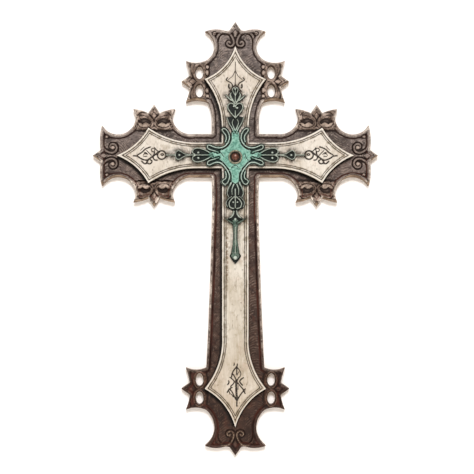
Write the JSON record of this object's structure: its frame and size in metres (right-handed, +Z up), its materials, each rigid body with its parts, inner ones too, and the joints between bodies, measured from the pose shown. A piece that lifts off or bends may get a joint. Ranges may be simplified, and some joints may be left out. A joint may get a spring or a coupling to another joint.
{
  "type": "gothic wall cross",
  "caption": "Gothic wall cross with a dark carved board, raised cream panel, verdigris cast cross and domed stud, hung by a keyhole slot in its flat back.",
  "frame": {"origin": "on the flat back, behind the crossing of the bars", "axes": "+Z up the upright bar, +X along the right arm as seen from the front, -Y out of the carved front"},
  "size_m": [0.358, 0.0305, 0.543],
  "materials": {
    "carved_board": "dark brown stained carving, worn pale on the rims",
    "cream_paint": "cream paint, distressed, with dark lines",
    "verdigris": "green patina with near-black recesses",
    "aged_bronze": "aged, satin",
    "brown_stud": "polished brown patina"
  },
  "bodies": {
    "root": {"back_board": "carved_board", "cream_panel": "cream_paint", "verdigris_cross": "verdigris", "stud_bezel": "aged_bronze", "centre_stud": "brown_stud"}
  },
  "joints": []
}
